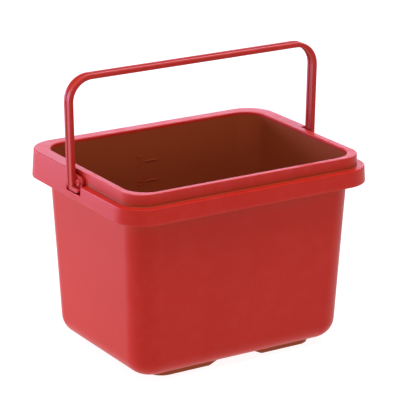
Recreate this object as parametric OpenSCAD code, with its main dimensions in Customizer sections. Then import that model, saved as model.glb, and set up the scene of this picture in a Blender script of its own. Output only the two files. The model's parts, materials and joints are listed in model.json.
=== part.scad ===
// Wash bucket: a drafted rectangular tub with a stepped hollow rim and a folding bail handle.
// X runs along the long sides, the stepped side of the rim faces -Y, and Z = 0 is the floor.
// The origin is on the floor, under the middle of the tub.

/* [Tub] */
// Overall length over the rim skirt
rim_length = 290; // [280:1:300]
// Overall width over the rim skirt
rim_width = 223; // [216:1:230]
// Height of the rim's top face above the floor
rim_height = 203.5; // [190:0.5:215]
// Outline radius of the rim skirt's corners
rim_corner = 33; // [30:0.5:36]
// Length of the opening at the rim
opening_length = 256; // [254:0.5:257]
// Width of the opening at the rim
opening_width = 191; // [190:0.5:192]
// Radius of the inside's upright corners
opening_corner = 23.5; // [22:0.5:26]
// Draft angle of the side walls
wall_draft = 2.6; // [2:0.1:3.4]
// Thickness of the side walls and of the rim
wall = 2.2; // [1.8:0.1:2.6]
// Thickness of the floor plate
floor_plate = 2.6; // [2:0.1:4]
// Outer rounding between the walls and the underside
base_fillet = 20; // [16:0.5:24]

/* [Rim] */
// Height of the downturned skirt, from the rim's top face to its lower edge
skirt_height = 29; // [27:0.5:31]
// How far the skirt flares out over its height
skirt_flare = 2; // [1:0.1:3]
// Depth of the step under the raised front lip
step_depth = 12.3; // [11:0.1:13]
// Distance from the skirt's lower edge in to the front lip
step_inset = 9; // [8.5:0.1:9.5]
// Chamfer on the rim's outer edges
rim_edge = 1; // [0.5:0.1:1.5]

/* [Feet] */
// Height of the four corner feet under the base
foot_height = 4; // [2:0.1:5]
// Length over the ring that the feet are segments of
foot_ring_length = 190; // [180:1:200]
// Width over the ring that the feet are segments of
foot_ring_width = 148; // [130:1:150]
// Outline radius of the ring's corners
foot_ring_corner = 17; // [14:1:20]
// Thickness of the ring
foot_thickness = 3; // [2.5:0.5:5]
// Gap between two feet at the floor, along the long sides
foot_gap_long = 62; // [50:1:80]
// Gap between two feet at the floor, along the short sides
foot_gap_short = 40; // [36:1:60]

/* [Bail] */
// Height of the bail's top face above the floor
bail_height = 298.5; // [294:0.5:302]
// Width of the strap
strap_width = 11.8; // [11:0.1:12]
// Thickness of the strap
strap_thickness = 5; // [4.6:0.1:5.2]
// Outside radius of the bail's upper corners
bail_corner = 26; // [22:0.5:30]
// Outward lean of each leg
leg_splay = 1.1; // [0:0.1:1.5]
// Width of the shallow groove along the strap
groove_width = 4; // [3:0.5:5]
// Depth of the groove
groove_depth = 0.8; // [0.4:0.1:1.2]

/* [Pivot] */
// Height of the pivot axis above the floor
pivot_z = 192.1; // [191.5:0.1:192.5]
// Position of the pivot axis in front of the middle
pivot_y = -2.5; // [-3:0.1:-2]
// Diameter of the pivot pins
pin_diameter = 6; // [5:0.1:6.2]
// Running clearance round the pin, on the radius
pin_clearance = 0.08; // [0.05:0.01:0.1]
// Diameter of the pin's head
head_diameter = 8.4; // [8:0.1:8.6]

/* [Volume scale] */
// Highest mark on the inside of the rear wall, in litres
top_mark = 7; // [4:1:7]
// Length of one mark
mark_length = 16; // [10:1:24]
// How far the marks stand proud of the wall
mark_relief = 0.5; // [0.3:0.1:0.8]

/* [Hidden] */
$fn = 72;
red = [0.72, 0.16, 0.15];
arc_step = 9;
mm3_per_litre = 1e6;

// Rim: the corner centres are shared by the skirt and the lip
rim_cx = rim_length / 2 - rim_corner;
rim_cy = rim_width / 2 - rim_corner;
skirt_bottom = rim_height - skirt_height;
ledge_z = rim_height - step_depth;
lip_u = rim_corner - step_inset;
rim_u_in = 12;

// Tub body: corner centres at the rim, shared by the inside and the outside; they draw in with
// the draft further down, so the corners keep their radius
body_cx = opening_length / 2 - opening_corner;
body_cy = opening_width / 2 - opening_corner;
draft = tan(wall_draft);
inside_floor = foot_height + floor_plate;
inside_fillet = base_fillet - wall;
foot_root = foot_height + floor_plate / 2;
foot_ramp = 2.4;
fillet_steps = 7;
corner_steps = 10;

// Pocket in the middle of each short side, where the bail's leg turns
strap_front = pivot_y + 4.75;
strap_rear = strap_front + strap_width;
stop_gap = 0.35;
pocket_front = pivot_y - 10.3;
pocket_rear = strap_rear + stop_gap;
pocket_floor = pivot_z - 10.5;
end_wall = 2;
lip_x = rim_cx + lip_u;

// Bail and pins, measured outwards along X from the lip
leg_x = rim_length / 2;
eye_in = lip_x + 1;
eye_out = leg_x - strap_thickness;
eye_radius = 6.5;
spacer_radius = 5.5;
spacer_height = 0.85;
head_gap = 0.1;
head_thickness = 1.6;
pin_tail = 7;
dimple_diameter = 2.6;
dimple_depth = 0.8;
knuckle_low = pivot_z - 9.4;
toe_front = pivot_y - 5.5;
toe_top = pivot_z - 4.8;
toe_radius = 9.6;
heel_radius = 9;
groove_end = pivot_z - 7;
big = 400;

// Distance from the middle to a drafted plane at height z, for its distance at the rim
function drafted(half, z) = half - (rim_height - z) * draft;

// Outside of the skirt at height z
function skirt_u(z) = rim_corner - skirt_flare * (z - skirt_bottom) / skirt_height;

// Points of an arc about (cx, cy), from angle a0 to angle a1
function arc(cx, cy, radius, a0, a1, steps) =
    [for (i = [0:steps]) let (a = a0 + (a1 - a0) * i / steps)
        [cx + radius * cos(a), cy + radius * sin(a)]];

// Wall of a block from its underside up, as [distance outwards from the corner centre, height]
function block_wall(radius, low, high, fillet) =
    concat(arc(radius - fillet, low + fillet, fillet, -90, 0, fillet_steps), [[radius, high]]);

// Outline of the block in plan, u outwards from its corner centres at height z
function block_ring(u, z) =
    [for (quadrant = [0:3], i = [0:corner_steps])
        let (a = 90 * (quadrant + i / corner_steps),
             sx = quadrant == 0 || quadrant == 3 ? 1 : -1,
             sy = quadrant < 2 ? 1 : -1)
        [sx * drafted(body_cx, z) + u * cos(a), sy * drafted(body_cy, z) + u * sin(a), z]];

// Section of the rim where the lip stands above a step at height z_step
function stepped_section(z_step) =
    let (u_step = skirt_u(z_step))
    [[rim_u_in, rim_height - wall],
     [lip_u - wall, rim_height - wall],
     [lip_u - wall, z_step - wall],
     [skirt_u(z_step - wall) - wall, z_step - wall],
     [rim_corner - wall, skirt_bottom],
     [rim_corner, skirt_bottom],
     [skirt_u(z_step - rim_edge), z_step - rim_edge],
     [u_step - rim_edge, z_step],
     [lip_u, z_step],
     [lip_u, rim_height - rim_edge],
     [lip_u - rim_edge, rim_height],
     [rim_u_in, rim_height]];

// Section of the flat flange round the rear half
flange_section =
    [[rim_u_in, rim_height - wall],
     [skirt_u(rim_height - wall) - wall, rim_height - wall],
     [rim_corner - wall, skirt_bottom],
     [rim_corner, skirt_bottom],
     [skirt_u(rim_height - rim_edge), rim_height - rim_edge],
     [skirt_u(rim_height) - rim_edge, rim_height],
     [rim_u_in, rim_height]];

// Section of the plate that closes the hollow rim at one end of the pocket
function end_section(z_top) =
    [[lip_u - wall, pocket_floor - wall],
     [skirt_u(pocket_floor - wall), pocket_floor - wall],
     [skirt_u(z_top - rim_edge), z_top - rim_edge],
     [skirt_u(z_top) - rim_edge, z_top],
     [lip_u - wall, z_top]];

// Plan area of the inside, inset from the drafted walls, at height z
function inside_area(z, inset = 0) =
    let (r = opening_corner - inset)
    4 * (drafted(body_cx, z) + r) * (drafted(body_cy, z) + r) - (4 - PI) * r * r;

// Inside volume up to height z: slices of the rounded bowl, then the walls
function bowl_inset(z) =
    inside_fillet - sqrt(pow(inside_fillet, 2) - pow(inside_floor + inside_fillet - z, 2));
function sum(list, i = 0) = i < len(list) ? list[i] + sum(list, i + 1) : 0;
bowl_slices = 40;
bowl_slice = inside_fillet / bowl_slices;
bowl_volume = bowl_slice * sum([for (i = [0.5:bowl_slices - 0.5])
    let (z = inside_floor + i * bowl_slice) inside_area(z, bowl_inset(z))]);
function inside_volume(z) =
    let (low = inside_floor + inside_fillet, middle = (low + z) / 2)
    bowl_volume + (z - low) / 6 * (inside_area(low) + 4 * inside_area(middle) + inside_area(z));

// Height that holds a volume, by halving the interval
function level(volume, low, high, turns) =
    let (middle = (low + high) / 2)
    turns == 0 ? middle :
    inside_volume(middle) < volume ? level(volume, middle, high, turns - 1) :
    level(volume, low, middle, turns - 1);

// Outline of the bail in the XZ plane, a distance inset inside its outer face
function bail_outline(inset, low) =
    let (radius = bail_corner - inset,
         arc_z = bail_height - bail_corner,
         arc_x = leg_x + (arc_z - pivot_z) * tan(leg_splay) - bail_corner / cos(leg_splay),
         low_x = leg_x - inset / cos(leg_splay) + (low - pivot_z) * tan(leg_splay),
         right = concat([[low_x, low]], arc(arc_x, arc_z, radius, -leg_splay, 90, 2 * arc_step)))
    concat(right, [for (i = [len(right) - 1:-1:0]) [-right[i][0], right[i][1]]]);

// Side view of the bail in the YZ plane: the strap, and the knuckle that wraps under the pin head
knuckle_outline =
    let (toe_angle = acos((pivot_y - toe_front) / toe_radius),
         bottom_angle = asin((pivot_z - knuckle_low) / toe_radius))
    concat([[strap_front, bail_height + 1], [strap_front, toe_top], [toe_front, toe_top]],
           arc(pivot_y, pivot_z, toe_radius, 180 + toe_angle, 180 + bottom_angle, arc_step),
           arc(strap_rear - heel_radius, knuckle_low + heel_radius, heel_radius, -90, 0, arc_step),
           [[strap_rear, bail_height + 1]]);

// Extrudes a section along Y on the +X side, from y0 to y1, with its u = 0 at x
module along_y(x, y0, y1) {
    translate([x, y1, 0])
        rotate([90, 0, 0])
            linear_extrude(y1 - y0) children();
}

// Extrudes a section along X from x0 to x1; its first coordinate becomes Y
module along_x(x0, x1) {
    translate([x0, 0, 0])
        rotate([90, 0, 90])
            linear_extrude(x1 - x0) children();
}

// Turns a section through one quarter about the corner centre in the given quadrant
module corner(cx, cy, quadrant) {
    translate([(quadrant == 0 || quadrant == 3 ? 1 : -1) * cx, (quadrant < 2 ? 1 : -1) * cy, 0])
        rotate([0, 0, 90 * quadrant])
            rotate_extrude(angle = 90) children();
}

// A solid block with rounded corners and drafted sides, its curves in flat steps
module drafted_block(radius, low, high, fillet) {
    wall_line = block_wall(radius, low, high, fillet);
    rows = len(wall_line);
    n = 4 * (corner_steps + 1);
    polyhedron(
        points = [for (p = wall_line, q = block_ring(p[0], p[1])) q],
        faces = concat(
            [[for (i = [0:n - 1]) i], [for (i = [n - 1:-1:0]) (rows - 1) * n + i]],
            [for (k = [0:rows - 2], i = [0:n - 1], half = [0, 1])
                let (a = k * n + i, b = k * n + (i + 1) % n)
                half == 0 ? [a, a + n, b + n] : [a, b + n, b]]));
}

// Rear half of the rim: one flat flange with a full-height skirt
module rear_flange() {
    for (quadrant = [0, 1]) corner(rim_cx, rim_cy, quadrant) polygon(flange_section);
    rotate([0, 0, 90]) along_y(rim_cy, -rim_cx, rim_cx) polygon(flange_section);
    for (side = [0, 1]) mirror([side, 0, 0])
        along_y(rim_cx, pocket_rear, rim_cy) polygon(flange_section);
}

// Front half of the rim: a raised lip, a ledge and a lower skirt
module front_step() {
    for (quadrant = [2, 3]) corner(rim_cx, rim_cy, quadrant) polygon(stepped_section(ledge_z));
    rotate([0, 0, -90]) along_y(rim_cy, -rim_cx, rim_cx) polygon(stepped_section(ledge_z));
    for (side = [0, 1]) mirror([side, 0, 0])
        along_y(rim_cx, -rim_cy, pocket_front) polygon(stepped_section(ledge_z));
}

// Pocket for the bail's leg, with its end walls and the spacer round the pin hole
module pivot_pocket() {
    along_y(rim_cx, pocket_front, pocket_rear) polygon(stepped_section(pocket_floor));
    along_y(rim_cx, pocket_front - end_wall, pocket_front) polygon(end_section(ledge_z));
    along_y(rim_cx, pocket_rear, pocket_rear + end_wall) polygon(end_section(rim_height));
    translate([lip_x - wall, pivot_y, pivot_z])
        rotate([0, 90, 0]) cylinder(r = spacer_radius, h = wall + spacer_height);
}

// Rounded rectangle in plan
module rounded_plan(length, width, radius) {
    square([length - 2 * radius, width], center = true);
    square([length, width - 2 * radius], center = true);
    for (sx = [-1, 1], sy = [-1, 1])
        translate([sx * (length / 2 - radius), sy * (width / 2 - radius)]) circle(radius);
}

// Trapezoid that cuts a gap with ramped ends through the foot ring
module foot_gap(gap) {
    reach = foot_root + 1;
    ramp = foot_ramp * reach;
    polygon([[-gap / 2 - ramp, -reach],
             [gap / 2 + ramp, -reach],
             [gap / 2 - ramp, reach],
             [-gap / 2 + ramp, reach]]);
}

// Four corner feet: a ring under the base with a gap in the middle of each side
module feet() {
    difference() {
        linear_extrude(foot_root) difference() {
            rounded_plan(foot_ring_length, foot_ring_width, foot_ring_corner);
            rounded_plan(foot_ring_length - 2 * foot_thickness, foot_ring_width - 2 * foot_thickness,
                         foot_ring_corner - foot_thickness);
        }
        along_x(-big, big) foot_gap(foot_gap_short);
        rotate([0, 0, 90]) along_x(-big, big) foot_gap(foot_gap_long);
    }
}

// One litre mark on the inside of the rear wall
module volume_mark(litres) {
    z = level(litres * mm3_per_litre, inside_floor, rim_height, 24);
    wall_y = drafted(body_cy, z) + opening_corner;
    translate([-mark_length / 2, wall_y - mark_relief, z - 0.6])
        cube([mark_length, mark_relief + wall / 2, 1.2]);
}

module tub() {
    color(red) {
        difference() {
            union() {
                drafted_block(opening_corner + wall, foot_height, rim_height, base_fillet);
                rear_flange();
                front_step();
                for (side = [0, 1]) mirror([side, 0, 0]) pivot_pocket();
                feet();
            }
            drafted_block(opening_corner, inside_floor, rim_height + 5, inside_fillet);
            for (side = [0, 1]) mirror([side, 0, 0])
                translate([lip_x - 2 * wall, pivot_y, pivot_z])
                    rotate([0, 90, 0]) cylinder(d = pin_diameter, h = 4 * wall);
        }
        for (litres = [1:top_mark]) volume_mark(litres);
    }
}

// The strap bent round the bail, with its legs ending in the side view's knuckle
module strap() {
    intersection() {
        along_y(0, toe_front - 1, strap_rear + 1) difference() {
            polygon(bail_outline(0, knuckle_low - 2));
            polygon(bail_outline(strap_thickness, knuckle_low - 3));
        }
        along_x(-big, big) polygon(knuckle_outline);
    }
}

// Plate inside the strap's lower end that carries the pin
module eye_plate() {
    plate_rear = pivot_y + 11;
    plate_low = pivot_z - 7.5;
    translate([eye_in, pivot_y, pivot_z])
        rotate([0, 90, 0]) cylinder(r = eye_radius, h = eye_out - eye_in);
    translate([eye_in, pivot_y, pivot_z - eye_radius])
        cube([eye_out - eye_in, strap_front - pivot_y, 2 * eye_radius]);
    translate([eye_in, strap_front, plate_low])
        cube([eye_out - eye_in + 1, plate_rear - strap_front, pivot_z + eye_radius - plate_low]);
}

// Shallow grooves along the outer and the inner face of the strap
module strap_grooves() {
    groove_y = (strap_front + strap_rear - groove_width) / 2;
    inner_low = pivot_z + eye_radius + 3;
    along_y(0, groove_y, groove_y + groove_width) difference() {
        polygon(bail_outline(-5, groove_end));
        polygon(bail_outline(groove_depth, groove_end - 1));
    }
    along_y(0, groove_y, groove_y + groove_width) difference() {
        polygon(bail_outline(strap_thickness - groove_depth, inner_low));
        polygon(bail_outline(strap_thickness + 5, inner_low - 1));
    }
}

module bail() {
    color(red) difference() {
        union() {
            strap();
            for (side = [0, 1]) mirror([side, 0, 0]) eye_plate();
        }
        strap_grooves();
        for (side = [0, 1]) mirror([side, 0, 0])
            translate([eye_in - 1, pivot_y, pivot_z])
                rotate([0, 90, 0]) cylinder(d = pin_diameter + 2 * pin_clearance, h = 5);
    }
}

// Pivot pin on the +X side: a headed pin pressed into the lip's wall
module pivot_pin() {
    head_x = eye_out + head_gap;
    color(red) translate([0, pivot_y, pivot_z]) difference() {
        union() {
            translate([head_x - pin_tail, 0, 0])
                rotate([0, 90, 0]) cylinder(d = pin_diameter - 0.02, h = pin_tail + 0.5);
            translate([head_x, 0, 0])
                rotate([0, 90, 0]) cylinder(d1 = head_diameter, d2 = head_diameter - 1.4,
                                            h = head_thickness);
        }
        translate([head_x + head_thickness - dimple_depth, 0, 0])
            rotate([0, 90, 0]) cylinder(d = dimple_diameter, h = dimple_depth + 1);
    }
}

module pivot_pin_left() { mirror([1, 0, 0]) pivot_pin(); }
module pivot_pin_right() { pivot_pin(); }

tub();
bail();
pivot_pin_left();
pivot_pin_right();
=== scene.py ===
import json
import math

import bmesh
import bpy
from mathutils import Matrix, Vector


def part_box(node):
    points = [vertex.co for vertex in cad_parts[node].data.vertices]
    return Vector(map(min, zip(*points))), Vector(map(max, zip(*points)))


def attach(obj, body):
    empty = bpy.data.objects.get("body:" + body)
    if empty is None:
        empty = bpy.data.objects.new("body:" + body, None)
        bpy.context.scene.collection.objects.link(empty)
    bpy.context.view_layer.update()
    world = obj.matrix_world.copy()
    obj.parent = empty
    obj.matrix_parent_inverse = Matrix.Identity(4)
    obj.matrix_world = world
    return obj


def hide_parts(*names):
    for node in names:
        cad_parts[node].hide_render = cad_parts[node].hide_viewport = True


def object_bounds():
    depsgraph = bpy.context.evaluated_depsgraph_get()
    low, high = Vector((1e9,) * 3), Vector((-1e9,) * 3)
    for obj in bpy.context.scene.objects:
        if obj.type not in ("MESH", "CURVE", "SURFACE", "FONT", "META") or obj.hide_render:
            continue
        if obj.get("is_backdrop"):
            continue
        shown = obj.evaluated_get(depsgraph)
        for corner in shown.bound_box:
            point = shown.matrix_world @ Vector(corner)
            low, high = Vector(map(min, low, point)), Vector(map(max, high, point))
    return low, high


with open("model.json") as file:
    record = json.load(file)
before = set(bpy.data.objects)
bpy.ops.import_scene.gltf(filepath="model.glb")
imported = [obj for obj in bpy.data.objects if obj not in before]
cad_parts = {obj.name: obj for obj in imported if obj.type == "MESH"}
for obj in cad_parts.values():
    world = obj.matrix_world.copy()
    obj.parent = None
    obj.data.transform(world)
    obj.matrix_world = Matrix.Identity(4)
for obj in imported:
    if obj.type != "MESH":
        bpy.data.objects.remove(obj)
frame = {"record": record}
CAD_LOW, CAD_HIGH = ([float(c) for c in corner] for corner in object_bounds())

# ---------------------------------------------------------------- sizes, in millimetres
MM = 0.001
tub_high = Vector(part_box("tub")[1]) / MM
bail_low, bail_high = (Vector(c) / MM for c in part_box("bail"))
pin_low, pin_high = (Vector(c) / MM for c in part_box("pivot_pin_right"))
pivot = Vector(frame["record"]["behaviour"]["joints"][0]["pos_m"]) / MM

# the rim: a flat top, a skirt turned down all round, and in front a lip, a step and a ledge
RIM_TOP = tub_high.z
RIM_CORNER = 33.0
RIM_CX = tub_high.x - RIM_CORNER
RIM_CY = tub_high.y - RIM_CORNER
SKIRT_HEIGHT = 29.0
SKIRT_BOTTOM = RIM_TOP - SKIRT_HEIGHT
SKIRT_FLARE = 2.0
STEP_DEPTH = 12.3
STEP_INSET = 9.0
LEDGE_Z = RIM_TOP - STEP_DEPTH
LIP_U = RIM_CORNER - STEP_INSET

# the body: drafted walls whose corners keep their radius, and a rounded base
OPENING_LENGTH = 256.0
OPENING_WIDTH = 191.0
OPEN_CORNER = 23.5
WALL = 2.2
FLOOR_PLATE = 2.6
DRAFT = math.tan(math.radians(2.6))
BODY_CX = OPENING_LENGTH / 2 - OPEN_CORNER
BODY_CY = OPENING_WIDTH / 2 - OPEN_CORNER
FOOT_HEIGHT = 4.0
FLOOR_Z = FOOT_HEIGHT + FLOOR_PLATE
BASE_FILLET = 20.0

# the feet: segments of a low ring
FOOT_RING_LENGTH = 190.0
FOOT_RING_WIDTH = 148.0
FOOT_CORNER = 17.0
FOOT_THICK = 3.0
FOOT_CX = FOOT_RING_LENGTH / 2 - FOOT_CORNER
FOOT_CY = FOOT_RING_WIDTH / 2 - FOOT_CORNER
FOOT_GAP_X, FOOT_GAP_Y = 31.0, 20.0     # half of the gap in each long and short side, at the floor
FOOT_ROOT = FOOT_HEIGHT + FLOOR_PLATE / 2
FOOT_RAMP = 2.4                         # run of a foot's sloping end for each millimetre of rise

# the pocket in the skirt at each end, and the bail's leg in it
STOP_GAP = 0.35
POCKET_FRONT = pivot.y - 10.3
POCKET_REAR = bail_high.y + STOP_GAP
POCKET_FLOOR = pivot.z - 10.5
END_WALL = 2.0
LIP_X = RIM_CX + LIP_U
LEG_X = tub_high.x
STRAP_T = 5.0
EYE_IN, EYE_OUT = LIP_X + 1.0, LEG_X - STRAP_T

# rounding of the tub's edges
EDGE = 0.9              # the rim's edges
RIM_EDGE = 1.1          # the outer edge of the ledge and of the flat rim
LEDGE_ROOT = 0.7        # where the lip's wall meets the ledge
POCKET_ROOT = 0.6       # where the lip's wall meets the pocket's floor
POCKET_END = 0.5        # where the pocket's floor meets its ends
POCKET_EDGE = 0.8       # the outer edge of the pocket's floor
HOLLOW_EDGE = 1.0       # inside the hollow rim
SKIRT_EDGE = 0.9        # the skirt's lower edge
OPENING_EDGE = 1.3      # the edge of the opening
ALONG = 5.0             # length of a line that only gives a fillet its direction
ARC_FAR, ARC_TOP = -25.0, 60.0          # where the lines end that the base's arcs join

# the per-point layer is above 0 on rubbed edges, painted pale as wear and as a highlight, and below 0
# where the plastic gets painted shade in brown
# edges paled both as wear and as a painted highlight
OPENING_RUB_AND_HIGHLIGHT, LIP_RUB_AND_HIGHLIGHT, SKIRT_RUB_AND_HIGHLIGHT = 0.6, 0.7, 0.5
STRAP_RUB_AND_HIGHLIGHT, EYE_RUB_AND_HIGHLIGHT, PIN_RUB_AND_HIGHLIGHT, GROOVE_RUB_AND_HIGHLIGHT = 0.8, 0.6, 0.6, 0.25
# painted shade inside the tub, lighter on the faces of the marks and figures
INSIDE_SHADE, MARK_SHADE = -1.0, -0.76
# painted shade on the feet, where the lip meets the ledge, down the wall under the skirt and in the
# strap's groove
FOOT_SHADE, LEDGE_SHADE, NECK_SHADOW, GROOVE_SHADE = -1.0, -0.60, -0.45, -0.30
NECK_FADE = (160, 180)                  # heights between which the neck's shade comes in

MERGE = 2e-6                            # points closer than this are one, in metres


def smooth(x, low, high):
    t = min(1.0, max(0.0, (x - low) / (high - low)))
    return t * t * (3 - 2 * t)


def fillet(before, at, after, radius, steps):
    """Points of the arc that rounds the corner at `at` of a 2-D line."""
    tiny, straight, side_share = 1e-6, math.pi / 2 - 1e-3, 0.48
    a, p, b = Vector(before), Vector(at), Vector(after)
    da, db = a - p, b - p
    la, lb = da.length, db.length
    if min(la, lb) < tiny or radius < tiny:
        return [tuple(p)] * (steps + 1)
    da /= la
    db /= lb
    half = da.angle(db) / 2
    if half > straight:
        return [tuple(p)] * (steps + 1)
    run = min(radius / math.tan(half), side_share * la, side_share * lb)
    radius = run * math.tan(half)
    centre = p + (da + db).normalized() * (radius / math.sin(half))
    start, end = p + da * run - centre, p + db * run - centre
    turn = start.angle_signed(end)
    out = []
    for i in range(steps + 1):
        r = start.copy()
        r.rotate(Matrix.Rotation(-turn * i / steps, 2))
        out.append(tuple(centre + r))
    return out


def between(a, b, count):
    """`count` points from a to b, without the ends."""
    return [tuple(Vector(a).lerp(Vector(b), (i + 1) / (count + 1))) for i in range(count)]


def loft(bm, rings, closed_rings, closed_loop):
    """Quads between neighbouring rings of points (x, y, z, wear)."""
    layer = bm.verts.layers.float.get("wear_and_painted_light") or bm.verts.layers.float.new("wear_and_painted_light")
    made = []
    for ring in rings:
        row = []
        for x, y, z, wear_and_painted_light in ring:
            v = bm.verts.new(Vector((x, y, z)) * MM)
            v[layer] = wear_and_painted_light
            row.append(v)
        made.append(row)
    pairs = list(zip(made, made[1:])) + ([(made[-1], made[0])] if closed_loop else [])
    for a, b in pairs:
        n = len(a)
        for i in range(n if closed_rings else n - 1):
            j = (i + 1) % n
            bm.faces.new((a[i], a[j], b[j], b[i]))
    return made


def turned(bm, profile, centre, sign):
    """A profile of (x, radius, wear) turned about an axis along X."""
    steps = 48
    rings = []
    for i in range(steps):
        a = 2 * math.pi * i / steps
        rings.append([(sign * x, centre.y + r * math.cos(a), centre.z + r * math.sin(a), wear_and_painted_light)
                      for x, r, wear_and_painted_light in profile])
    loft(bm, rings, False, True)


def merge_points(bm):
    bmesh.ops.remove_doubles(bm, verts=bm.verts, dist=MERGE)


def drop_slivers(bm):
    shortest_edge = 1e-6
    bmesh.ops.dissolve_degenerate(bm, edges=bm.edges, dist=shortest_edge)


def mesh_object(name, bm, material, body):
    """A smooth piece with its sharp edges kept, riding on its body."""
    sharp_angle, normal_weight = 32, 80
    bmesh.ops.recalc_face_normals(bm, faces=bm.faces)
    mesh = bpy.data.meshes.new(name)
    bm.to_mesh(mesh)
    bm.free()
    for poly in mesh.polygons:
        poly.use_smooth = True
    mesh.set_sharp_from_angle(angle=math.radians(sharp_angle))
    obj = bpy.data.objects.new(name, mesh)
    bpy.context.scene.collection.objects.link(obj)
    mesh.materials.append(material)
    weighted = obj.modifiers.new("even_normals", "WEIGHTED_NORMAL")
    weighted.keep_sharp = True
    weighted.weight = normal_weight
    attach(obj, body)
    return obj


# ---------------------------------------------------------------- materials
PALE = (0.62, 0.10, 0.10, 1)
# painted shade: the brown that shaded places are mixed towards
SHADE_BROWN = (0.280, 0.060, 0.0165, 1)
TUB_RED, TUB_DEEP = (0.470, 0.015, 0.007, 1), (0.445, 0.013, 0.006, 1)
BAIL_RED, BAIL_DEEP = (0.430, 0.016, 0.007, 1), (0.405, 0.013, 0.006, 1)
PIN_RED = (0.50, 0.020, 0.012, 1)
# how far the painted shade goes towards the brown at the layer's lowest value
SHADE_STRENGTH = 0.88
SPECULAR = 0.15
REFRACTION = 1.49

# noises, in cycles per metre
FLOW, WAVES, MOTTLE, SCUFF, GRAIN = 9.0, 26.0, 70.0, 90.0, 1400.0
FLOW_STRETCH = (1.0, 1.0, 0.45)
SCUFF_STRETCH = (0.35, 0.35, 3.2)
# how far each moves the colour towards PALE
MOTTLE_PALE, SCUFF_PALE = 0.07, 0.12
# how far rubbed edges go towards PALE, as wear and as a painted highlight
RUB_HIGHLIGHT_LEAST, RUB_HIGHLIGHT_MOST = 0.10, 0.20
# bumps: strength, and height in metres
WAVE_BUMP, WAVE_HEIGHT = 0.07, 0.0012
GRAIN_BUMP, GRAIN_HEIGHT = 0.35, 0.00006


def node(tree, kind, inputs=(), **settings):
    n = tree.nodes.new(kind)
    for key, value in settings.items():
        setattr(n, key, value)
    for key, value in dict(inputs).items():
        if isinstance(value, bpy.types.NodeSocket):
            tree.links.new(value, n.inputs[key])
        else:
            n.inputs[key].default_value = value
    return n


def math_node(tree, operation, a, b=0.0, clamp=False):
    return node(tree, "ShaderNodeMath", {0: a, 1: b}, operation=operation, use_clamp=clamp).outputs[0]


def mix_colour(tree, factor, a, b):
    return node(tree, "ShaderNodeMix", {0: factor, 6: a, 7: b}, data_type="RGBA").outputs[2]


def ramp(tree, factor, low, high, to_low=0.0, to_high=1.0):
    inputs = {0: factor, 1: low, 2: high, 3: to_low, 4: to_high}
    return node(tree, "ShaderNodeMapRange", inputs).outputs[0]


def noise(tree, place, scale, detail, roughness, stretch=None):
    if stretch is not None:
        place = node(tree, "ShaderNodeMapping", {"Vector": place, "Scale": stretch}).outputs[0]
    inputs = {"Vector": place, "Scale": scale, "Detail": detail, "Roughness": roughness}
    return node(tree, "ShaderNodeTexNoise", inputs).outputs[0]


def plastic(name, base, deep, rough):
    """Satin moulded polypropylene: flow marks, mottle, scuffs, edges paled as wear and as a painted
    highlight, painted brown shade, and grain.
    """
    material = bpy.data.materials.new(name)
    material.use_nodes = True
    tree = material.node_tree
    tree.nodes.clear()
    place = node(tree, "ShaderNodeTexCoord").outputs["Object"]
    flow = noise(tree, place, FLOW, 3.0, 0.55, FLOW_STRETCH)
    mottle = noise(tree, place, MOTTLE, 4.0, 0.6)
    grain = noise(tree, place, GRAIN, 2.0, 0.6)
    scuff = noise(tree, place, SCUFF, 5.0, 0.7, SCUFF_STRETCH)
    waves = noise(tree, place, WAVES, 1.0, 0.4)
    layer = node(tree, "ShaderNodeAttribute", attribute_name="wear_and_painted_light").outputs["Fac"]
    wear_and_painted_light = math_node(tree, "MAXIMUM", layer, 0.0)
    shade = math_node(tree, "MULTIPLY", math_node(tree, "MINIMUM", layer, 0.0), -SHADE_STRENGTH, True)

    colour = mix_colour(tree, ramp(tree, flow, 0.3, 0.7), deep, base)
    colour = mix_colour(tree, ramp(tree, mottle, 0.42, 0.75, 0.0, MOTTLE_PALE), colour, PALE)
    scuffed = ramp(tree, scuff, 0.60, 0.80, 0.0, SCUFF_PALE)
    colour = mix_colour(tree, scuffed, colour, PALE)
    # edges paled as wear and as a painted highlight
    worn_and_highlit = math_node(tree, "MULTIPLY", wear_and_painted_light, ramp(tree, mottle, 0.35, 0.65, RUB_HIGHLIGHT_LEAST, RUB_HIGHLIGHT_MOST))
    colour = mix_colour(tree, worn_and_highlit, colour, PALE)
    # painted shade, mixed towards the brown
    colour = mix_colour(tree, shade, colour, SHADE_BROWN)

    roughness = ramp(tree, mottle, 0.3, 0.7, rough - 0.04, rough + 0.05)
    roughness = math_node(tree, "ADD", roughness, math_node(tree, "MULTIPLY", scuffed, 0.5))
    roughness = math_node(tree, "ADD", roughness, math_node(tree, "MULTIPLY", worn_and_highlit, 0.2), True)

    wavy = node(tree, "ShaderNodeBump", {"Strength": WAVE_BUMP, "Distance": WAVE_HEIGHT, "Height": waves})
    skin = node(tree, "ShaderNodeBump", {
        "Strength": GRAIN_BUMP, "Distance": GRAIN_HEIGHT, "Height": grain, "Normal": wavy.outputs[0]})
    shader = node(tree, "ShaderNodeBsdfPrincipled", {
        "Base Color": colour, "Roughness": roughness, "Normal": skin.outputs[0], "IOR": REFRACTION,
        "Specular IOR Level": SPECULAR})
    out = node(tree, "ShaderNodeOutputMaterial", {"Surface": shader.outputs[0]})
    out.is_active_output = True
    return material


tub_plastic = plastic("tub_plastic", TUB_RED, TUB_DEEP, 0.36)
bail_plastic = plastic("bail_plastic", BAIL_RED, BAIL_DEEP, 0.44)
pin_plastic = plastic("pin_plastic", PIN_RED, TUB_DEEP, 0.38)


# ---------------------------------------------------------------- the tub, swept round its plan
# A section is a line of (distance outwards from a corner centre, height). It runs from the inside
# floor up the wall, over the rim, down the skirt, back up inside the skirt and down to the base.
# Every section has the same number of points, so neighbours join point for point.
LIP_POINTS = 6          # points of lip_arc
ROOT_POINTS = 5         # points of step_root


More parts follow.
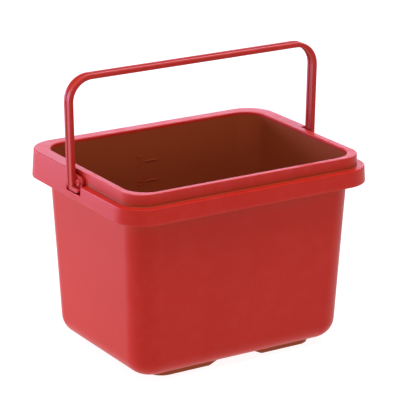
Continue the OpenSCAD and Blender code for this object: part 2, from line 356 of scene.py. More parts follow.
def skirt_u(z):
    return RIM_CORNER - SKIRT_FLARE * (z - SKIRT_BOTTOM) / (RIM_TOP - SKIRT_BOTTOM)


def skirt_in(z):
    return skirt_u(z) - WALL


def drawn_in(half, z):
    """A distance from the middle at the rim, drawn in by the walls' draft at height z."""
    return half - (RIM_TOP - z) * DRAFT


def inside(z):
    return OPEN_CORNER, z


def outside(z):
    return OPEN_CORNER + WALL, z


def placed(place, kind, u, z):
    """Where a point of a section stands, u outwards from its corner centre."""
    if kind == "rim":
        cx, cy = RIM_CX, RIM_CY
    elif kind == "body":
        cx, cy = drawn_in(BODY_CX, z), drawn_in(BODY_CY, z)
    else:
        cx, cy = FOOT_CX, FOOT_CY
    return place["share"][0] * cx + place["out"][0] * u, place["share"][1] * cy + place["out"][1] * u, z


def lip_arc(share):
    """Edge between the rim's top and the lip's wall; share 0 is a flat top that runs straight on."""
    corner = (LIP_U, RIM_TOP)
    arc = fillet((LIP_U - ALONG, RIM_TOP), corner, (LIP_U, RIM_TOP - ALONG), EDGE, LIP_POINTS - 1)
    return [(u, RIM_TOP - (RIM_TOP - z) * share) for u, z in arc]


def step_root(z, radius):
    """Fillet where the lip's wall meets a level at height z."""
    return fillet((LIP_U, z + ALONG), (LIP_U, z), (LIP_U + ALONG, z), radius, ROOT_POINTS - 1)


def outer_chain(kind, drop, rise):
    """Rim from the lip's upper edge to just below the pocket floor's level: 6 + 16 + 4 points."""
    low_z, high_z = POCKET_FLOOR - POCKET_EDGE, POCKET_FLOOR + POCKET_EDGE
    low = (skirt_u(low_z), low_z)
    if kind == "pocket":
        z = POCKET_FLOOR + rise
        edge = fillet((skirt_u(z) - ALONG, z), (skirt_u(z), z), low, POCKET_EDGE, 4)
        chain = between((LIP_U, RIM_TOP - EDGE), (LIP_U, z), 3) + step_root(z, POCKET_ROOT)
        chain += between(chain[-1], edge[0], 7)
        return lip_arc(1.0) + chain + edge
    high = (skirt_u(high_z) - drop, high_z)
    z = (LEDGE_Z if kind == "ledge" else RIM_TOP) - drop
    edge = fillet((skirt_u(z) - drop - ALONG, z), (skirt_u(z) - drop, z), high, RIM_EDGE, 5)
    if kind == "ledge":
        root = step_root(z, LEDGE_ROOT * (1 - drop / EDGE))
        chain = root + between(root[-1], edge[0], 2) + edge
        share = 1.0
    else:
        chain = between((LIP_U, z), edge[0], 7) + edge
        share = drop / EDGE
    chain += between(chain[-1], high, 2) + [high]
    return lip_arc(share) + chain + between(high, low, 3) + [low]


def inner_chain(kind):
    """Hollow side of the rim, from the skirt's inner face to the body's wall: 14 points."""
    above_hem, short_side = 4.1, 0.8
    start_z = SKIRT_BOTTOM + above_hem
    start = (skirt_in(start_z), start_z)
    top = RIM_TOP - WALL
    lip_in = LIP_U - WALL
    last = fillet((lip_in, top - ALONG), (lip_in, top), (lip_in - ALONG, top), HOLLOW_EDGE, 2)
    if kind == "flange":
        end = (lip_in - 1, top)
        corner = fillet(start, (skirt_in(top), top), (skirt_in(top) - ALONG, top), HOLLOW_EDGE, 2)
        return [start] + between(start, corner[0], 4) + corner + between(corner[-1], end, 5) + [end]
    z = (LEDGE_Z if kind == "ledge" else POCKET_FLOOR) - WALL
    u = skirt_in(z)
    below = z - (short_side if kind == "pocket" else ALONG)
    first = fillet((u, below), (u, z), (u - ALONG, z), HOLLOW_EDGE, 2)
    second = fillet((lip_in + ALONG, z), (lip_in, z), (lip_in, z + ALONG), HOLLOW_EDGE, 2)
    level_part = first + between(first[-1], second[0], 2) + second
    if kind == "ledge":
        return [start] + between(start, first[0], 1) + level_part + between(second[-1], last[0], 1) + last
    at_ledge = (lip_in, LEDGE_Z - WALL)
    return [start] + level_part + [at_ledge] + between(at_ledge, last[0], 1) + last


def section(place):
    """All points of one section, as (kind of corner centre, distance outwards, height, wear)."""
    pts = []

    def add(kind, line, wear_and_painted_light=0.0):
        pts.extend((kind, u, z, wear_and_painted_light) for u, z in line)

    floor_arc = fillet((ARC_FAR, FLOOR_Z), inside(FLOOR_Z), inside(ARC_TOP), BASE_FILLET - WALL, 10)
    below_rim = 4.0
    wall_end = inside(RIM_TOP - below_rim)
    rim_inside, rim_along = inside(RIM_TOP), (OPEN_CORNER + ALONG, RIM_TOP)
    # painted shade over the inside floor and walls
    add("body", [(2.0, FLOOR_Z)] + floor_arc, INSIDE_SHADE)
    add("body", between(floor_arc[-1], wall_end, 15) + [wall_end], INSIDE_SHADE)
    # the opening's edge paled as wear and as a painted highlight
    add("body", fillet(inside(RIM_TOP - ALONG), rim_inside, rim_along, OPENING_EDGE, 6), OPENING_RUB_AND_HIGHLIGHT)

    outer = outer_chain(place["outer"], place["drop"], place["rise"])
    shaded_end = LIP_POINTS + (ROOT_POINTS if place["outer"] == "ledge" else 0)
    # the lip's edge paled as wear and as a painted highlight
    add("rim", outer[:LIP_POINTS], LIP_RUB_AND_HIGHLIGHT)
    # painted shade in the crease where the lip's wall meets the ledge
    add("rim", outer[LIP_POINTS:shaded_end], LEDGE_SHADE)
    add("rim", outer[shaded_end:])

    hem_out, hem_in = (skirt_u(SKIRT_BOTTOM), SKIRT_BOTTOM), (skirt_in(SKIRT_BOTTOM), SKIRT_BOTTOM)
    hem = fillet(outer[-1], hem_out, hem_in, SKIRT_EDGE, 4)
    inner = inner_chain(place["inner"])
    add("rim", between(outer[-1], hem[0], 1))
    # the skirt's hem paled as wear and as a painted highlight
    add("rim", hem, SKIRT_RUB_AND_HIGHLIGHT)
    add("rim", fillet(hem_out, hem_in, inner[0], SKIRT_EDGE, 4))
    add("rim", inner)

    under = RIM_TOP - WALL
    under_along = (OPEN_CORNER + WALL + ALONG, under)
    neck = fillet(under_along, outside(under), outside(under - ALONG), HOLLOW_EDGE, 3)
    base_arc = fillet(outside(ARC_TOP), outside(FOOT_HEIGHT), (ARC_FAR, FOOT_HEIGHT), BASE_FILLET, 10)
    # painted shadow under the skirt, fading out down the wall
    add("body", neck, NECK_SHADOW)
    wall_line = between(neck[-1], base_arc[0], 16)
    pts.extend(("body", u, z, NECK_SHADOW * smooth(z, *NECK_FADE)) for u, z in wall_line)
    add("body", base_arc + [(1.0, FOOT_HEIGHT)])
    return pts


def station(share, out, outer, inner, drop=0.0, rise=0.0):
    """Where a section stands: its share of each corner centre, its outward direction and its kinds."""
    return {"share": share, "out": out, "outer": outer, "inner": inner, "drop": drop, "rise": rise}


def side_stations(sign):
    """Sections along one short side, from its front corner to its rear corner."""
    step, floor_starts, floor_flat, crease = 7.0, 0.25, 0.8, 0.1
    quarter = [math.pi / 2 * i / 4 for i in range(5)]
    rows = []                                    # (y, outer kind, drop, rise)
    front_run = POCKET_FRONT - EDGE + RIM_CY
    count = round(front_run / step)
    for i in range(count):
        rows.append((-RIM_CY + front_run * i / count, "ledge", 0.0, 0.0))
    for a in quarter:
        rows.append((POCKET_FRONT - EDGE * (1 - math.sin(a)), "ledge", EDGE * (1 - math.cos(a)), 0.0))
        rows.append((POCKET_REAR + EDGE * (1 - math.sin(a)), "flange", EDGE * (1 - math.cos(a)), 0.0))
    for a in quarter[::2]:
        inwards = floor_starts + POCKET_END * (1 - math.cos(a))
        rows.append((POCKET_FRONT + inwards, "pocket", 0.0, POCKET_END * (1 - math.sin(a))))
        rows.append((POCKET_REAR - inwards, "pocket", 0.0, POCKET_END * (1 - math.sin(a))))
    low, high = POCKET_FRONT + floor_flat, POCKET_REAR - floor_flat
    for i in range(1, 8):
        rows.append((low + (high - low) * i / 8, "pocket", 0.0, 0.0))
    start = POCKET_REAR + EDGE
    count = round((RIM_CY - start) / step)
    for i in range(1, count + 1):
        rows.append((start + (RIM_CY - start) * i / count, "flange", 0.0, 0.0))
    for offset in (-crease, crease):
        rows.append((POCKET_FRONT - END_WALL + offset, "ledge", 0.0, 0.0))
        rows.append((POCKET_REAR + END_WALL + offset, "flange", 0.0, 0.0))
    order = {"ledge": 0, "pocket": 1, "flange": 2}
    rows.sort(key=lambda row: (order[row[1]], row[0]))

    places = []
    for y, kind, drop, rise in rows:
        if y < POCKET_FRONT - END_WALL:
            inner = "ledge"
        else:
            inner = "pocket" if y < POCKET_REAR + END_WALL else "flange"
        places.append(station((sign, y / RIM_CY), (sign, 0.0), kind, inner, drop, rise))
    return places


def long_stations(sign, kind):
    """Sections along one long side, from -X to +X."""
    half = 14
    return [station((i / half - 1, sign), (0.0, sign), kind, kind) for i in range(2 * half + 1)]


def corner_stations(corner, start, kind):
    """Sections round one corner, from the angle `start`, in degrees, to a right angle on."""
    steps = 24
    angles = [math.radians(start + 90 * i / steps) for i in range(1, steps)]
    return [station(corner, (math.cos(a), math.sin(a)), kind, kind) for a in angles]


def foot_distances(gap, end, steps):
    """Distances from the middle of a side: up a foot's ramp, then on to its corner."""
    tip, blend = gap - FOOT_RAMP * FOOT_ROOT, 1.2
    on_ramp = [tip + 0.3, tip + 3.5, gap - blend, gap, gap + blend]
    return on_ramp + [gap + blend + (end - gap - blend) * i / steps for i in range(1, steps + 1)]


def foot(bm, sx, sy):
    """One corner foot: a segment of a low ring, with ramped ends."""
    corner_steps, clear_of_ramp, ramp_starts, ramp_curve = 16, 9.0, 0.6, 1.08
    edge, highest = 0.7, FOOT_ROOT - 0.05
    # (share of the side, outward direction, distance past the gap)
    path = []
    for x in foot_distances(FOOT_GAP_X, FOOT_CX, 6):
        path.append(((sx * x / FOOT_CX, sy), (0.0, sy), x - FOOT_GAP_X))
    for i in range(1, corner_steps):
        a = math.pi / 2 * (1 - i / corner_steps)
        path.append(((sx, sy), (sx * math.cos(a), sy * math.sin(a)), clear_of_ramp))
    for y in reversed(foot_distances(FOOT_GAP_Y, FOOT_CY, 4)):
        path.append(((sx, sy * y / FOOT_CY), (sx, 0.0), y - FOOT_GAP_Y))
    rings = []
    for share, out, past in path:
        z = min(max(0.0, (ramp_starts - past) / FOOT_RAMP) ** ramp_curve, highest)
        outer_top, outer_low = (FOOT_CORNER, FOOT_ROOT), (FOOT_CORNER, z)
        inner_top, inner_low = (FOOT_CORNER - FOOT_THICK, FOOT_ROOT), (FOOT_CORNER - FOOT_THICK, z)
        line = [outer_top] + fillet(outer_top, outer_low, inner_low, edge, 3)
        line += fillet(outer_low, inner_low, inner_top, edge, 3) + [inner_top]
        place = {"share": share, "out": out}
        # the whole foot carries painted shade
        rings.append([(*placed(place, "foot", u, h), FOOT_SHADE) for u, h in line])
    made = loft(bm, rings, True, False)
    bm.faces.new(made[0])
    bm.faces.new(made[-1])


def pivot_boss(bm, sign):
    """Spacer ring on the lip's wall round the pin."""
    low, high, hole, rim = LIP_X - 1.4, LIP_X + 0.85, 3.02, 5.5
    line = [(low, hole)] + fillet((low, hole), (high, hole), (high, rim), 0.15, 2)
    line += fillet((high, hole), (high, rim), (low, rim), 0.3, 3) + [(low, rim), (low, hole)]
    turned(bm, [(x, r, 0.0) for x, r in line], pivot, sign)


def build_tub():
    places = side_stations(1) + corner_stations((1, 1), 0, "flange")
    places += list(reversed(long_stations(1, "flange"))) + corner_stations((-1, 1), 90, "flange")
    places += list(reversed(side_stations(-1))) + corner_stations((-1, -1), 180, "ledge")
    places += long_stations(-1, "ledge") + corner_stations((1, -1), 270, "ledge")
    rings = []
    for place in places:
        rings.append([(*placed(place, kind, u, z), wear_and_painted_light) for kind, u, z, wear_and_painted_light in section(place)])
    bm = bmesh.new()
    made = loft(bm, rings, False, True)
    bm.faces.new([row[0] for row in made])
    bm.faces.new([row[-1] for row in made])
    for sign in (1, -1):
        pivot_boss(bm, sign)
        for end in (1, -1):
            foot(bm, sign, end)
    merge_points(bm)
    drop_slivers(bm)
    tub = mesh_object("tub_shell", bm, tub_plastic, "tub")
    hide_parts("tub")


# ---------------------------------------------------------------- litre marks inside the rear wall
TOP_MARK = 7
MM3_PER_LITRE = 1e6
MARK_LENGTH, MARK_HEIGHT, MARK_RELIEF = 16.0, 1.2, 0.5
# (how far proud of the wall, change of the end's radius, painted shade), from inside the wall outwards
MARK_PROFILE = [(-0.5, 0.0, INSIDE_SHADE), (0.1, 0.0, INSIDE_SHADE), (MARK_RELIEF - 0.17, -0.05, MARK_SHADE),
                (MARK_RELIEF - 0.05, -0.12, MARK_SHADE), (MARK_RELIEF, -0.25, MARK_SHADE)]
FIGURE_HEIGHT, FIGURE_WIDTH_SHARE = 11.0, 0.95
FIGURE_LEFT, FIGURE_BELOW = 14.0, 4.5   # from the mark to the figure's middle and to its foot
FIGURE_SUNK, FIGURE_PROUD = 0.3, 0.45


def inside_area(z, inset=0.0):
    r = OPEN_CORNER - inset
    return 4 * (drawn_in(BODY_CX, z) + r) * (drawn_in(BODY_CY, z) + r) - (4 - math.pi) * r * r


def bowl_volume():
    """What the rounded bottom holds, up to where the walls start."""
    steps = 40
    r = BASE_FILLET - WALL
    held = 0.0
    for i in range(steps):
        h = (i + 0.5) * r / steps
        held += inside_area(FLOOR_Z + h, r - math.sqrt(r * r - (r - h) ** 2)) * r / steps
    return held


def level(litres):
    """Height to which the inside holds this volume."""
    halvings = 30
    start = FLOOR_Z + BASE_FILLET - WALL
    low, high = FLOOR_Z, RIM_TOP
    for _ in range(halvings):
        z = (low + high) / 2
        held = bowl_volume() + (z - start) / 6 * (
            inside_area(start) + 4 * inside_area((start + z) / 2) + inside_area(z))
        low, high = (z, high) if held < litres * MM3_PER_LITRE else (low, z)
    return low


def on_rear_wall(x, z, proud):
    """A point this far proud of the rear wall's inner face."""
    slope = math.atan(DRAFT)
    y = drawn_in(BODY_CY, z) + OPEN_CORNER
    return Vector((x, y - proud * math.cos(slope), z + proud * math.sin(slope)))


def build_marks():
    """A bar with round ends at each whole litre, moulded proud of the wall."""
    end_steps = 8
    radius = MARK_HEIGHT / 2
    end_x = MARK_LENGTH / 2 - radius
    bm = bmesh.new()
    for litres in range(1, TOP_MARK + 1):
        z = level(litres)
        rings = []
        for proud, grow, wear_and_painted_light in MARK_PROFILE:
            r = radius + grow
            line = []
            for cx, first in ((end_x, -90), (-end_x, 90)):
                for i in range(end_steps + 1):
                    a = math.radians(first + 180 * i / end_steps)
                    p = on_rear_wall(cx + r * math.cos(a), z + r * math.sin(a), proud)
                    line.append((*p, wear_and_painted_light))
            rings.append(line)
        made = loft(bm, rings, True, False)
        bm.faces.new(made[-1])
    marks = mesh_object("litre_marks", bm, tub_plastic, "tub")
    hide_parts("tub")


def figure_mesh(litres):
    """A plain figure as a solid with bevelled edges, in its own units."""
    curve = bpy.data.curves.new("figure", "FONT")
    curve.body = str(litres)
    curve.size = 1.0
    curve.extrude, curve.bevel_depth = 0.02, 0.008
    curve.bevel_resolution, curve.resolution_u = 1, 8
    text = bpy.data.objects.new("figure", curve)
    bpy.context.scene.collection.objects.link(text)
    bpy.context.view_layer.update()
    solid = bpy.data.meshes.new_from_object(text.evaluated_get(bpy.context.evaluated_depsgraph_get()))
    bpy.data.objects.remove(text)
    return solid


def build_figures():
    """A plain figure to the left of each mark, moulded proud like the mark."""
    same_point, face_from = 1e-5, 0.9
    for litres in range(1, TOP_MARK + 1):
        bm = bmesh.new()
        bm.from_mesh(figure_mesh(litres))
        bmesh.ops.remove_doubles(bm, verts=bm.verts, dist=same_point)
        xs = [v.co.x for v in bm.verts]
        ys = [v.co.y for v in bm.verts]
        zs = [v.co.z for v in bm.verts]
        scale = FIGURE_HEIGHT / (max(ys) - min(ys))
        layer = bm.verts.layers.float.new("wear_and_painted_light")
        base = level(litres) - FIGURE_BELOW
        for v in bm.verts:
            depth = (v.co.z - min(zs)) / (max(zs) - min(zs))
            x = (v.co.x - (min(xs) + max(xs)) / 2) * scale * FIGURE_WIDTH_SHARE
            z = base + (v.co.y - min(ys)) * scale
            proud = -FIGURE_SUNK + depth * (FIGURE_SUNK + FIGURE_PROUD)
            v.co = on_rear_wall(x - FIGURE_LEFT, z, proud) * MM
            # the figure's face gets lighter painted shade than its sides
            v[layer] = MARK_SHADE if depth > face_from else INSIDE_SHADE
        figure = mesh_object("figure_%d" % litres, bm, tub_plastic, "tub")
        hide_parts("tub")


# ---------------------------------------------------------------- the bail
# Along the strap, y is across it, s is the height on a leg, and w is the depth from its outer face.
SPLAY = math.radians(1.1)
BAIL_TOP = bail_high.z
BAIL_R = 26.0
ARC_Z = BAIL_TOP - BAIL_R
ARC_X = LEG_X + (ARC_Z - pivot.z) * math.tan(SPLAY) - BAIL_R / math.cos(SPLAY)
STRAP_WIDTH = 11.8
STRAP_REAR = bail_high.y
STRAP_FRONT = STRAP_REAR - STRAP_WIDTH
STRAP_EDGE = 1.0
KNUCKLE_HIGH, KNUCKLE_LOW = 210, bail_low.z
TOE_FRONT, TOE_TOP = bail_low.y, pivot.z - 4.8
HEEL_R = 9.0
HEEL_Z = KNUCKLE_LOW + HEEL_R
EYE_R, EYE_HOLE, EYE_EDGE, EYE_CORNER = 6.5, 3.08, 0.5, 1.2
# (distance from the middle of the strap, share of the groove's depth)
SHOULDER = 0.1
GROOVE = [(-2.4, 0.0), (-2.1, SHOULDER), (-1.9, 0.45), (-1.7, 0.85), (-1.4, 1.0), (0.0, 1.0),
          (1.4, 1.0), (1.7, 0.85), (1.9, 0.45), (2.1, SHOULDER), (2.4, 0.0)]
GROOVE_DEPTH = 0.8
GROOVE_Y = (STRAP_FRONT + STRAP_REAR) / 2
OUTER_GROOVE_END = pivot.z - 7.0
INNER_GROOVE_END = pivot.z + 9.5


def edge_cross():
    """(inset, depth, wear) across the strap's thickness, rounded at both faces."""
    cross = []
    for i in range(5):
        a = math.pi / 2 * i / 4
        # the strap's rounded edges paled as wear and as a painted highlight
        cross.append((STRAP_EDGE * (1 - math.sin(a)), STRAP_EDGE * (1 - math.cos(a)), STRAP_RUB_AND_HIGHLIGHT))
    mirrored = [(inset, STRAP_T - depth, wear_and_painted_light) for inset, depth, wear_and_painted_light in reversed(cross)]
    return cross + [(0.0, STRAP_T / 2, 0.0)] + mirrored


def moved_in(edge, distance):
    """A point (y, s) this far into the material from an edge (y, s, inward y, inward s)."""
    return edge[0] + edge[2] * distance, edge[1] + edge[3] * distance


def groove_face(front, rear, depth_at, w_face, sign):
    """Points (y, s, w, wear) across one face of the strap, with its groove."""
    a, b = moved_in(front, STRAP_EDGE), moved_in(rear, STRAP_EDGE)
    pts = []
    for dy, share in GROOVE:
        y = min(max(GROOVE_Y + dy, a[0]), b[0])
        t = (y - a[0]) / max(b[0] - a[0], 1e-9)
        s = a[1] + (b[1] - a[1]) * t
        sunk = share * depth_at(s)
        # groove shoulders paled as wear and as a painted highlight; groove floor given painted shade
        wear_and_painted_light = GROOVE_RUB_AND_HIGHLIGHT if share == SHOULDER else GROOVE_SHADE * sunk
        pts.append((y, s, w_face + sign * GROOVE_DEPTH * sunk, wear_and_painted_light))
    return pts


def bail_loop(front, rear, outer_depth, inner_depth):
    """One closed section through the strap: front edge, inner face, rear edge, outer face."""
    cross = edge_cross()
    loop = [(*moved_in(front, inset), w, wear_and_painted_light) for inset, w, wear_and_painted_light in cross]
    loop += groove_face(front, rear, inner_depth, STRAP_T, -1)
    loop += [(*moved_in(rear, inset), w, wear_and_painted_light) for inset, w, wear_and_painted_light in reversed(cross)]
    loop += list(reversed(groove_face(front, rear, outer_depth, 0.0, 1)))
    return loop


def full_depth(_):
    return 1.0


def outer_depth(s):
    return smooth(s, OUTER_GROOVE_END - 0.8, OUTER_GROOVE_END + 1.0)


def inner_depth(s):
    return smooth(s, INNER_GROOVE_END - 0.8, INNER_GROOVE_END + 1.0)


def plain_loop(s):
    """Section of the plain strap at height s."""
    front, rear = (STRAP_FRONT, s, 1.0, 0.0), (STRAP_REAR, s, -1.0, 0.0)
    return bail_loop(front, rear, full_depth, full_depth)


def with_normals(line, left):
    """Adds to each point of a 2-D line its unit direction into the material."""
    out = []
    for i, p in enumerate(line):
        q0, q1 = Vector(line[max(i - 1, 0)]), Vector(line[min(i + 1, len(line) - 1)])
        d = (q1 - q0).normalized()
        n = (-d.y, d.x) if left else (d.y, -d.x)
        out.append((p[0], p[1], n[0], n[1]))
    return out


def heel(z):
    """The leg's rear outline, which rounds in below HEEL_Z."""
    drop = HEEL_Z - z
    return (STRAP_REAR - HEEL_R + math.sqrt(HEEL_R ** 2 - drop ** 2), z) if drop > 0 else (STRAP_REAR, z)


def knuckle_edges():
    """Front and rear outline of the leg's lower end, from the strap down to where they meet."""
    heights = [KNUCKLE_HIGH, 205, 201, 198, 195.5, 193.4, 191.7, 190.2, 189.0]
    middle = (0.3, KNUCKLE_LOW)
    c1, c2 = (STRAP_FRONT, TOE_TOP), (TOE_FRONT, TOE_TOP)
    c3, c4 = (TOE_FRONT, TOE_TOP - 3.06), (pivot.y - 1.95, KNUCKLE_LOW)
    f1 = fillet((STRAP_FRONT, TOE_TOP + ALONG), c1, (STRAP_FRONT - ALONG, TOE_TOP), 0.6, 4)
    f2 = fillet(c1, c2, c3, 1.0, 4)
    f3 = fillet(c2, c3, c4, 1.6, 4)
    f4 = fillet(c3, c4, middle, 2.0, 3)
    front = [(STRAP_FRONT, z) for z in heights] + f1
    front += between(f1[-1], f2[0], 3) + f2 + between(f2[-1], f3[0], 1) + f3
    front += between(f3[-1], f4[0], 1) + f4 + between(f4[-1], middle, 2) + [middle]

    rear = [heel(z) for z in heights] + [heel(z) for _, z in f1]
    start = math.asin((HEEL_Z - f1[-1][1]) / HEEL_R)
    arc_steps = len(front) - len(rear) - 4
    for i in range(1, arc_steps + 1):
        a = start + (math.pi / 2 - start) * i / arc_steps
        rear.append((STRAP_REAR - HEEL_R + HEEL_R * math.cos(a), HEEL_Z - HEEL_R * math.sin(a)))
    rear += between(rear[-1], middle, 3) + [middle]
    front_n, rear_n = with_normals(front, True), with_normals(rear, False)
    front_n[-1] = (*middle, 0.0, 1.0)
    rear_n[-1] = (*middle, 0.0, 1.0)
    return list(zip(front_n, rear_n))


def on_leg(y, s, w):
    """Where a point of a leg stands; the legs splay outwards."""
    return LEG_X + (s - pivot.z) * math.tan(SPLAY) - w / math.cos(SPLAY), y, s


def build_bail():
    """The strap, as one half and its mirror image, with an eye plate in each foot."""
    leg_steps, bend_steps, bar_steps = 8, 24, 12
    leg_top = ARC_Z - 3
    half = []
    for front, rear in reversed(knuckle_edges()):
        loop = bail_loop(front, rear, outer_depth, inner_depth)
        half.append([(*on_leg(y, s, w), wear_and_painted_light) for y, s, w, wear_and_painted_light in loop])
    for i in range(1, leg_steps + 1):
        loop = plain_loop(KNUCKLE_HIGH + (leg_top - KNUCKLE_HIGH) * i / leg_steps)
        half.append([(*on_leg(y, s, w), wear_and_painted_light) for y, s, w, wear_and_painted_light in loop])
    for i in range(bend_steps + 1):
        a = -SPLAY + (math.pi / 2 + SPLAY) * i / bend_steps
        half.append([(ARC_X + (BAIL_R - w) * math.cos(a), y, ARC_Z + (BAIL_R - w) * math.sin(a), wear_and_painted_light)
                     for y, _, w, wear_and_painted_light in plain_loop(0.0)])
    for i in range(1, bar_steps + 1):
        x = ARC_X * (1 - i / bar_steps)
        half.append([(x, y, BAIL_TOP - w, wear_and_painted_light) for y, _, w, wear_and_painted_light in plain_loop(0.0)])
    other = [[(-x, y, z, wear_and_painted_light) for x, y, z, wear_and_painted_light in ring] for ring in reversed(half[:-1])]
    bm = bmesh.new()
    loft(bm, half + other, True, False)
    for sign in (1, -1):
        eye_plate(bm, sign)
    merge_points(bm)
    drop_slivers(bm)
    bail = mesh_object("bail_strap", bm, bail_plastic, "bail")
    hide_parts("bail")


def eye_outline():
    """Side outline of the eye plate, as (y, z): a round front, and a rear that fills the knuckle."""
    front_steps = 24
    low, rear = pivot.z - 7.5, pivot.y + 11
    top, bottom = pivot.z + EYE_R, pivot.z - EYE_R
    bend, heel_start = (1.0, bottom), (3.2, low)
    line = [(pivot.y, top)]
    for i in range(1, front_steps):
        a = math.pi * i / front_steps
        line.append((pivot.y - EYE_R * math.sin(a), pivot.z + EYE_R * math.cos(a)))
    line += [(pivot.y, bottom), bend]
    line += fillet(bend, heel_start, (rear, low), 1.0, 2)
    line += fillet(heel_start, (rear, low), (rear, top), EYE_CORNER, 4)
    line += fillet((rear, low), (rear, top), (pivot.y, top), EYE_CORNER, 4)
    return line + between((rear - EYE_CORNER, top), (pivot.y, top), 3)


def eye_plate(bm, sign):
    """Plate inside the strap's lower end, with the hole that turns on the pin."""
    line = eye_outline()
    centre = Vector((pivot.y, pivot.z))
    middle = EYE_IN + 1.5
    quarter = (0, math.pi / 4, math.pi / 2)
    arc = [(EYE_EDGE * (1 - math.cos(a)), EYE_EDGE * (1 - math.sin(a))) for a in quarter]
    levels = [(EYE_IN + depth, inset) for depth, inset in arc]
    levels += [(EYE_OUT - depth, inset) for depth, inset in reversed(arc)]
    rings = []
    for i, p in enumerate(line):
        d = (Vector(line[(i + 1) % len(line)]) - Vector(line[i - 1])).normalized()
        inward = Vector((-d.y, d.x))
        if inward.dot(centre - Vector(p)) < 0:
            inward = -inward
        rim = centre + (Vector(p) - centre).normalized() * EYE_HOLE
        ring = [(sign * EYE_IN, *rim, 0.0)]
        for x, inset in levels:
            q = Vector(p) + inward * inset
            if x > middle:
                # behind the strap's front edge, the plate runs a little into the strap
                x += 0.8 * smooth(q.x, STRAP_FRONT + 0.2, STRAP_FRONT + 0.9)
            # the eye plate's edges paled as wear and as a painted highlight
            ring.append((sign * x, *q, EYE_RUB_AND_HIGHLIGHT))
        ring.append((sign * EYE_OUT, *rim, 0.0))
        ring.append((sign * EYE_IN, *rim, 0.0))
        rings.append(ring)
    loft(bm, rings, False, True)


# ---------------------------------------------------------------- the pivot pins
PIN_R = 2.99
HEAD_THICK, HEAD_R, HEAD_FACE_R = 1.6, 4.2, 3.5
DIMPLE_DEPTH, DIMPLE_R, DIMPLE_FLOOR_R = 0.8, 1.3, 1.15


def build_pin(name, sign):
    """A shank with a chamfered head, and a shallow dimple in the head's face."""
    tail, face = pin_low.x, pin_high.x
    head, floor = face - HEAD_THICK, face - DIMPLE_DEPTH
    line = [(tail, 0.0)] + fillet((tail, 0.0), (tail, PIN_R), (head, PIN_R), 0.5, 3)
    line += [(head, PIN_R)] + fillet((head, PIN_R), (head, HEAD_R), (face, HEAD_FACE_R), 0.2, 3)
    line += fillet((head, HEAD_R), (face, HEAD_FACE_R), (face, DIMPLE_R), 0.55, 4)
    line += fillet((face, HEAD_FACE_R), (face, DIMPLE_R), (floor, DIMPLE_FLOOR_R), 0.3, 3)
    line += fillet((face, DIMPLE_R), (floor, DIMPLE_FLOOR_R), (floor, 0.0), 0.4, 3)
    line += [(floor, 0.0)]
    bm = bmesh.new()
    # the head's rim paled as wear and as a painted highlight
    turned(bm, [(x, r, PIN_RUB_AND_HIGHLIGHT if x > head + 0.8 and r > 1.2 else 0.0) for x, r in line], pivot, sign)
    merge_points(bm)
    pin = mesh_object(name + "_detail", bm, pin_plastic, "tub")
    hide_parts(name)


# ---------------------------------------------------------------- floor, light and camera
LIGHT_TARGET = Vector((0, 0, 0.12))
AZIMUTH, ELEVATION, ROLL = -31.81, 18.49, 0.19
DISTANCE = 2.304
TARGET_SHARE = 0.4637                   # height that the camera looks at, as a share of the object's
SENSOR, LENS = 36, 194.8
SHIFT_X, SHIFT_Y = 0.0239, 0.0061


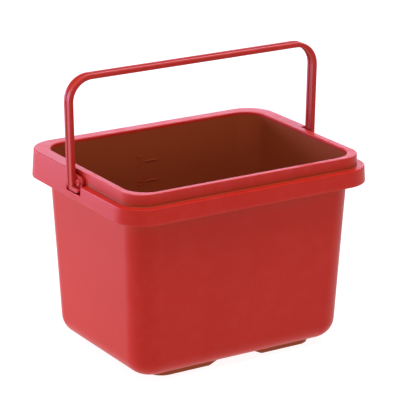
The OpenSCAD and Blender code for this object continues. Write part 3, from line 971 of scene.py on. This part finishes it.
def build_floor():
    """A pale floor that gives off light, so that it stays a plain white."""
    below_feet, half_size = 0.0002, 12
    studio = bpy.data.materials.new("studio_floor")
    studio.use_nodes = True
    shader = studio.node_tree.nodes["Principled BSDF"]
    shader.inputs["Base Color"].default_value = (0.20, 0.20, 0.20, 1)
    shader.inputs["Roughness"].default_value = 0.9
    shader.inputs["Emission Color"].default_value = (1.0, 1.0, 1.0, 1)
    shader.inputs["Emission Strength"].default_value = 0.92
    bm = bmesh.new()
    bmesh.ops.create_grid(bm, x_segments=1, y_segments=1, size=half_size)
    mesh = bpy.data.meshes.new("floor")
    bm.to_mesh(mesh)
    bm.free()
    mesh.materials.append(studio)
    floor = bpy.data.objects.new("floor", mesh)
    floor.location.z = CAD_LOW[2] - below_feet
    bpy.context.scene.collection.objects.link(floor)
    floor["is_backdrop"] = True


def build_world():
    """White surroundings, brighter at the sides than overhead."""
    sides, overhead = 0.56, 0.34
    world = bpy.data.worlds.new("studio")
    world.use_nodes = True
    sky = world.node_tree
    place = node(sky, "ShaderNodeTexCoord").outputs["Generated"]
    up = node(sky, "ShaderNodeSeparateXYZ", {0: place}).outputs[2]
    sky.links.new(ramp(sky, up, 0.15, 0.70, sides, overhead), sky.nodes["Background"].inputs[1])
    sky.nodes["Background"].inputs[0].default_value = (1.0, 1.0, 1.0, 1)
    bpy.context.scene.world = world


def direction(azimuth, elevation):
    """Unit vector from the object towards an azimuth and elevation in degrees; azimuth 0 is -Y."""
    a, e = math.radians(azimuth), math.radians(elevation)
    return Vector((math.sin(a) * math.cos(e), -math.cos(a) * math.cos(e), math.sin(e)))


def aimed(name, data, target, back, distance, roll=0.0):
    """A light or camera that stands in the direction `back` from the target and looks at it."""
    obj = bpy.data.objects.new(name, data)
    obj.location = target + back * distance
    obj.rotation_mode = "QUATERNION"
    turn = Matrix.Rotation(math.radians(roll), 4, "Z").to_quaternion()
    obj.rotation_quaternion = (-back).to_track_quat("-Z", "Y") @ turn
    bpy.context.scene.collection.objects.link(obj)
    return obj


def softbox(name, azimuth, elevation, distance, size, power, colour):
    light = bpy.data.lights.new(name, "AREA")
    light.shape, light.size, light.size_y = "RECTANGLE", size[0], size[1]
    light.energy, light.color = power, colour
    aimed(name, light, LIGHT_TARGET, direction(azimuth, elevation), distance)


def build_camera():
    camera = bpy.data.cameras.new("camera")
    camera.sensor_width = SENSOR
    camera.lens = LENS
    camera.shift_x, camera.shift_y = SHIFT_X, SHIFT_Y
    camera.clip_start, camera.clip_end = 0.05, 50
    target = Vector((0, 0, TARGET_SHARE * CAD_HIGH[2]))
    eye = aimed("camera", camera, target, direction(AZIMUTH, ELEVATION), DISTANCE, ROLL)
    bpy.context.scene.camera = eye
    bpy.context.scene.view_settings.view_transform = "Standard"


build_tub()
build_marks()
build_figures()
build_bail()
build_pin("pivot_pin_right", 1)
build_pin("pivot_pin_left", -1)

build_floor()
build_world()
# a bluish key on the left end, a light that glances over the level faces, and one that fills the inside
softbox("key", -134, 3, 1.6, (1.2, 0.6), 21.5, (0.97, 1.10, 1.95))
softbox("edge", 148, 20, 1.5, (1.5, 0.5), 7, (1.0, 0.86, 1.25))
softbox("top", 0, 80, 1.7, (1.8, 1.2), 31, (1.0, 0.96, 1.12))
build_camera()
